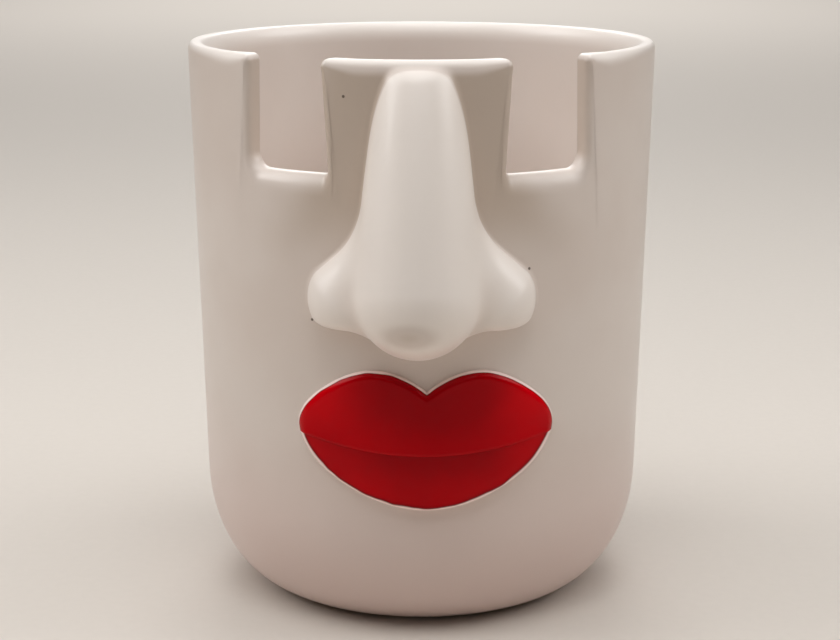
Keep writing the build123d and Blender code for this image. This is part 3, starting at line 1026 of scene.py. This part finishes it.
# Painted shade towards the foot: full at the lower height, none above the upper
FOOT_SHADE_RUN = (66 * MM, 6 * MM)
SPECK_RADIUS = 0.28 * MM
SPECK_FADE = 1.6
SPECKS = ((-18.74, 140.7), (26.53, 97.85), (-27.2, 84.77))
CLAY_ROUGHNESS = 0.85
RED_ROUGHNESS = (0.14, 0.22)
RED_SPECULAR = 0.08
BARE_FADE = 0.25
EDGE_SHADE_WIDTH = 1.0
FLOOR_ROUGHNESS = 0.8


def add_node(tree, kind, inputs=None, output=0, **settings):
    """A node with its settings, and with a value or a link on each input named; gives one of its outputs."""
    node = tree.nodes.new(kind)
    for name, value in settings.items():
        setattr(node, name, value)
    for socket, source in (inputs or {}).items():
        if isinstance(source, bpy.types.NodeSocket):
            tree.links.new(source, node.inputs[socket])
        else:
            node.inputs[socket].default_value = source
    return node.outputs[output] if node.outputs else None


def new_material(name):
    """An empty material, its nodes and the piece's own coordinates."""
    material = bpy.data.materials.new(name)
    material.use_nodes = True
    tree = material.node_tree
    tree.nodes.clear()
    return material, tree, add_node(tree, "ShaderNodeTexCoord", output="Object")


def opaque(colour_value):
    """A colour with full alpha."""
    return (*colour_value, 1)


def wandering(tree, place, pattern, low, high):
    """A number that wanders between two values in soft clouds."""
    cloud = add_node(tree, "ShaderNodeTexNoise", {"Vector": place, **pattern})
    start, end = PATTERN_SPAN
    span = {"Value": cloud, "From Min": start, "From Max": end, "To Min": low, "To Max": high}
    return add_node(tree, "ShaderNodeMapRange", span, interpolation_type="SMOOTHSTEP")


def coated(tree, ground, coats):
    """Colour of a ground under coats.

    Each coat has its colour, a number that it follows, and the values at which it starts and is full.
    """
    for tint, source, start, full in coats:
        span = {"Value": source, "From Min": start, "From Max": full}
        cover = add_node(tree, "ShaderNodeMapRange", span, interpolation_type="SMOOTHSTEP")
        mixed = {MIX_FACTOR: cover, MIX_UNDER: ground, MIX_OVER: opaque(tint)}
        ground = add_node(tree, "ShaderNodeMix", mixed, MIX_RESULT, data_type="RGBA")
    return ground


def white_glaze_material(vessel):
    """Off-white earthenware glaze: a soft gloss in warm clouds, with a few iron specks.

    It is paler where it runs thin over edges and relief, and there it also carries painted highlight;
    painted shade darkens it beside the nose, on the notches' sides, under the nose's tip, in its creases and
    towards the foot.
    """
    material, tree, place = new_material("white_earthenware_glaze")
    cloud = add_node(tree, "ShaderNodeTexNoise", {"Vector": place, **GLAZE_CLOUD})
    height = add_node(tree, "ShaderNodeSeparateXYZ", {"Vector": place}, "Z")
    painted_light_mask = add_node(tree, "ShaderNodeAttribute", output="Fac", attribute_name="glaze_thinning_and_painted_light")
    # Painted shade towards the foot; thin glaze with painted highlight where the mask is above 0; painted
    # shade where it is below 0
    coats = [
        (vessel.glaze_warm, cloud, *GLAZE_CLOUD_SPAN),
        (vessel.glaze_foot_shade, height, *FOOT_SHADE_RUN),
        (vessel.glaze_thin_and_highlight, painted_light_mask, 0, 1),
        (vessel.glaze_painted_shade, painted_light_mask, 0, -1),
    ]
    for x, z in SPECKS:
        spot = tuple(on_wall(vessel, x * MM, z * MM, 0))
        gap = add_node(tree, "ShaderNodeVectorMath", {0: place, 1: spot}, "Value", operation="DISTANCE")
        coats.append((vessel.speck, gap, SPECK_FADE * SPECK_RADIUS, SPECK_RADIUS))
    ripple = add_node(tree, "ShaderNodeTexNoise", {"Vector": place, **GLAZE_RIPPLE})
    bump = {"Height": ripple, "Distance": GLAZE_RIPPLE_HEIGHT, "Strength": 1}
    finish = {
        "Base Color": coated(tree, opaque(vessel.glaze), coats),
        "Roughness": wandering(tree, place, GLOSS_CLOUD, *GLAZE_ROUGHNESS),
        "IOR": GLAZE_IOR,
        "Normal": add_node(tree, "ShaderNodeBump", bump),
    }
    shader = add_node(tree, "ShaderNodeBsdfPrincipled", finish)
    add_node(tree, "ShaderNodeOutputMaterial", {"Surface": shader})
    return material


def red_glaze_material(lips):
    """Deep red overglaze: glossy, darkened by painted shade, with a pale line where the brush stopped that
    also carries painted highlight.

    The distance from the edge, which the line follows, is counted in widths of that line.
    """
    material, tree, place = new_material("red_overglaze")
    # Painted shade: the red is mixed towards a darker red by the painted-shade attribute
    red_shade = add_node(tree, "ShaderNodeAttribute", output="Fac", attribute_name="red_painted_shade")
    cloud = wandering(tree, place, RED_CLOUD, -RED_CLOUD_SHARE, RED_CLOUD_SHARE)
    red_shade = add_node(tree, "ShaderNodeMath", {0: red_shade, 1: cloud}, operation="ADD", use_clamp=True)
    mixed = {MIX_FACTOR: red_shade, MIX_UNDER: opaque(lips.glaze), MIX_OVER: opaque(lips.painted_shade_red)}
    red = add_node(tree, "ShaderNodeMix", mixed, MIX_RESULT, data_type="RGBA")
    reach = add_node(tree, "ShaderNodeAttribute", output="Fac", attribute_name="brush_reach")
    wander = wandering(tree, place, BRUSH_WANDER, -BRUSH_SWING, BRUSH_SWING)
    reach = add_node(tree, "ShaderNodeMath", {0: reach, 1: wander}, operation="ADD")
    # Painted shade in a darker band just inside the edge; the pale line is partly bare glaze where the brush
    # stopped and partly painted highlight
    coats = [
        (lips.glaze_painted_shade, reach, 1 + EDGE_SHADE_WIDTH, 1),
        (lips.edge, reach, 1 + BARE_FADE, 1 - BARE_FADE),
    ]
    finish = {
        "Base Color": coated(tree, red, coats),
        "Roughness": wandering(tree, place, GLOSS_CLOUD, *RED_ROUGHNESS),
        "IOR": GLAZE_IOR,
        "Specular IOR Level": RED_SPECULAR,
    }
    shader = add_node(tree, "ShaderNodeBsdfPrincipled", finish)
    add_node(tree, "ShaderNodeOutputMaterial", {"Surface": shader})
    return material


def grained_material(name, light, dark, pattern, grain_height, roughness):
    """A matt material whose two tones and whose relief follow one grain."""
    material, tree, place = new_material(name)
    grain = add_node(tree, "ShaderNodeTexNoise", {"Vector": place, **pattern})
    mixed = {MIX_FACTOR: grain, MIX_UNDER: opaque(light), MIX_OVER: opaque(dark)}
    bump = {"Height": grain, "Distance": grain_height, "Strength": 1}
    finish = {
        "Base Color": add_node(tree, "ShaderNodeMix", mixed, MIX_RESULT, data_type="RGBA"),
        "Roughness": roughness,
        "Normal": add_node(tree, "ShaderNodeBump", bump),
    }
    shader = add_node(tree, "ShaderNodeBsdfPrincipled", finish)
    add_node(tree, "ShaderNodeOutputMaterial", {"Surface": shader})
    return material


def bare_clay_material(vessel):
    """Fired earthenware that the glaze leaves free under the foot: matt, dry and finely grained."""
    name = "bare_earthenware"
    tones = vessel.clay, vessel.clay_dark
    return grained_material(name, *tones, CLAY_GRAIN, CLAY_GRAIN_HEIGHT, CLAY_ROUGHNESS)


def floor_material(stage):
    """Matt painted board: pale, with the faint tooth of a rolled coat."""
    name = "painted_board"
    tones = stage.floor, stage.floor_shade
    return grained_material(name, *tones, FLOOR_GRAIN, FLOOR_GRAIN_HEIGHT, FLOOR_ROUGHNESS)


# Stage

# Places and sizes in metres
FLOOR_HALF = 6.0
CAMERA_RANGE = (0.01, 50)
LIGHT_AIM = (0, 0, 0.08)
SOFTBOX_SIZE = 0.7
TOP_LIGHT_BACK = 0.05
TOP_LIGHT_HEIGHT = 1.08
SIDE_LIGHT_REACH = 0.707
SIDE_LIGHT_HEIGHT = 0.787
FRONT_LIGHT_REACH = 0.423
FRONT_LIGHT_HEIGHT = 0.986
WASH_REACH = 2.6
WASH_AIM = 2.4
WASH_HEIGHT = 1.6
WASH_SIZE = 1.6


def add_floor(stage):
    """A wide flat floor."""
    half = FLOOR_HALF
    mesh = bpy.data.meshes.new("studio_floor")
    corners = [(-half, -half, 0), (half, -half, 0), (half, half, 0), (-half, half, 0)]
    mesh.from_pydata(corners, [], [(0, 1, 2, 3)])
    mesh.materials.append(floor_material(stage))
    floor = bpy.data.objects.new("studio_floor", mesh)
    bpy.context.scene.collection.objects.link(floor)


def add_softbox(name, place, aim, size, power):
    """A square soft light that looks at a point."""
    light = bpy.data.lights.new(name, "AREA")
    light.shape = "SQUARE"
    light.size = size
    light.energy = power
    lamp = bpy.data.objects.new(name, light)
    lamp.location = place
    direction = np.array(aim) - np.array(place)
    tilt = math.atan2(math.hypot(direction[0], direction[1]), -direction[2])
    swing = math.atan2(direction[1], direction[0]) - math.pi / 2
    lamp.rotation_euler = (tilt, 0, swing)
    bpy.context.scene.collection.objects.link(lamp)


def add_lights(stage):
    """Four soft lights high around the vase, four far ones that wash the floor, and a weak sky."""
    boxes = [
        ("top", (0, TOP_LIGHT_BACK, TOP_LIGHT_HEIGHT), stage.top_light),
        ("left", (-SIDE_LIGHT_REACH, 0, SIDE_LIGHT_HEIGHT), stage.left_light),
        ("right", (SIDE_LIGHT_REACH, 0, SIDE_LIGHT_HEIGHT), stage.right_light),
        ("front", (0, -FRONT_LIGHT_REACH, FRONT_LIGHT_HEIGHT), stage.front_light),
    ]
    for name, place, power in boxes:
        add_softbox(f"softbox_{name}", place, LIGHT_AIM, SOFTBOX_SIZE, power)
    washes = [
        ("back", 0, 1, stage.back_wash),
        ("left", -1, 0, stage.side_wash),
        ("right", 1, 0, stage.side_wash),
        ("front", 0, -1, stage.front_wash),
    ]
    for name, across, ahead, power in washes:
        place = (across * WASH_REACH, ahead * WASH_REACH, WASH_HEIGHT)
        aim = (across * WASH_AIM, ahead * WASH_AIM, 0)
        add_softbox(f"floor_wash_{name}", place, aim, WASH_SIZE, power)
    world = bpy.data.worlds.new("studio_sky")
    world.use_nodes = True
    sky = world.node_tree.nodes["Background"]
    sky.inputs["Color"].default_value = opaque(stage.sky)
    sky.inputs["Strength"].default_value = stage.sky_strength
    bpy.context.scene.world = world
    bpy.context.scene.view_settings.view_transform = "Standard"


def add_camera(stage):
    """A camera straight in front of the face, looking slightly down."""
    camera = bpy.data.cameras.new("camera")
    camera.lens = stage.lens
    camera.clip_start, camera.clip_end = CAMERA_RANGE
    view = bpy.data.objects.new("camera", camera)
    view.location = (stage.camera_side, -stage.camera_distance, stage.camera_height)
    view.rotation_euler = (math.pi / 2 - stage.camera_pitch, 0, 0)
    bpy.context.scene.collection.objects.link(view)
    bpy.context.scene.camera = view


# Operators

def shared_material(name, make, settings):
    """The material of that name, made the first time that a piece asks for it."""
    return bpy.data.materials.get(name) or make(settings)


class AddVessel(bpy.types.Operator):
    """Build the vessel body with its eye notches."""

    bl_idname = "face_vase.add_vessel"
    bl_label = "Vessel body"

    def execute(self, context):
        vessel = context.scene.face_vase_vessel
        glaze = shared_material("white_earthenware_glaze", white_glaze_material, vessel)
        clay = shared_material("bare_earthenware", bare_clay_material, vessel)
        vertices, faces, thin_and_painted_light = vessel_surface(vessel)
        finishes = [glaze, clay]
        piece = add_piece("vessel_body_glazed", vertices, faces, finishes, "vessel_body")
        piece.data.polygons.foreach_set("material_index", foot_faces(vessel, piece.data, vertices))
        # Painted shade beside the nose darkens the wall's glaze
        painted_shade = nose_painted_shade(vessel, context.scene.face_vase_nose, vertices)
        add_attribute(piece, "glaze_thinning_and_painted_light", thin_and_painted_light - (1 - thin_and_painted_light) * painted_shade)
        return {"FINISHED"}


class AddNose(bpy.types.Operator):
    """Build the nose on the panel between the notches."""

    bl_idname = "face_vase.add_nose"
    bl_label = "Nose"

    def execute(self, context):
        vessel = context.scene.face_vase_vessel
        nose = context.scene.face_vase_nose
        glaze = shared_material("white_earthenware_glaze", white_glaze_material, vessel)
        vertices, faces = nose_surface(vessel, nose)
        piece = add_piece("nose_glazed", vertices, faces, [glaze], "nose")
        add_attribute(piece, "glaze_thinning_and_painted_light", nose_painted_light(vessel, nose, vertices))
        return {"FINISHED"}


class AddLips(bpy.types.Operator):
    """Build the upper and the lower lip."""

    bl_idname = "face_vase.add_lips"
    bl_label = "Lips"

    def execute(self, context):
        vessel = context.scene.face_vase_vessel
        lips = context.scene.face_vase_lips
        red = shared_material("red_overglaze", red_glaze_material, lips)
        add_lip("upper_lip_red", vessel, lips, upper_lip_surface, red, "upper_lip", 1)
        add_lip("lower_lip_red", vessel, lips, lower_lip_surface, red, "lower_lip", -1)
        return {"FINISHED"}


class AddStage(bpy.types.Operator):
    """Set up the floor, the soft lights and the camera."""

    bl_idname = "face_vase.add_stage"
    bl_label = "Stage"

    def execute(self, context):
        stage = context.scene.face_vase_stage
        add_floor(stage)
        add_lights(stage)
        add_camera(stage)
        return {"FINISHED"}


class FaceVasePanel(bpy.types.Panel):
    """Buttons and settings of the face vase."""

    bl_idname = "VIEW3D_PT_face_vase"
    bl_label = "Face vase"
    bl_space_type = "VIEW_3D"
    bl_region_type = "UI"
    bl_category = "Face vase"

    def draw(self, context):
        for name, group, operator in SECTIONS:
            box = self.layout.box()
            box.operator(operator.bl_idname)
            for setting in group.__annotations__:
                box.prop(getattr(context.scene, name), setting)


SECTIONS = [
    ("face_vase_vessel", VesselSettings, AddVessel),
    ("face_vase_nose", NoseSettings, AddNose),
    ("face_vase_lips", LipSettings, AddLips),
    ("face_vase_stage", StageSettings, AddStage),
]
CLASSES = [each for section in SECTIONS for each in section[1:]] + [FaceVasePanel]


def register():
    """Add the classes and their settings."""
    for each in CLASSES:
        bpy.utils.register_class(each)
    for name, group, _ in SECTIONS:
        setattr(bpy.types.Scene, name, PointerProperty(type=group))


def unregister():
    """Take the classes and their settings away again."""
    for name, _, _ in SECTIONS:
        delattr(bpy.types.Scene, name)
    for each in reversed(CLASSES):
        bpy.utils.unregister_class(each)


def main():
    """Build the vase, then its stage."""
    register()
    bpy.ops.face_vase.add_vessel()
    bpy.ops.face_vase.add_nose()
    bpy.ops.face_vase.add_lips()
    bpy.ops.face_vase.add_stage()


if __name__ == "__main__":
    main()
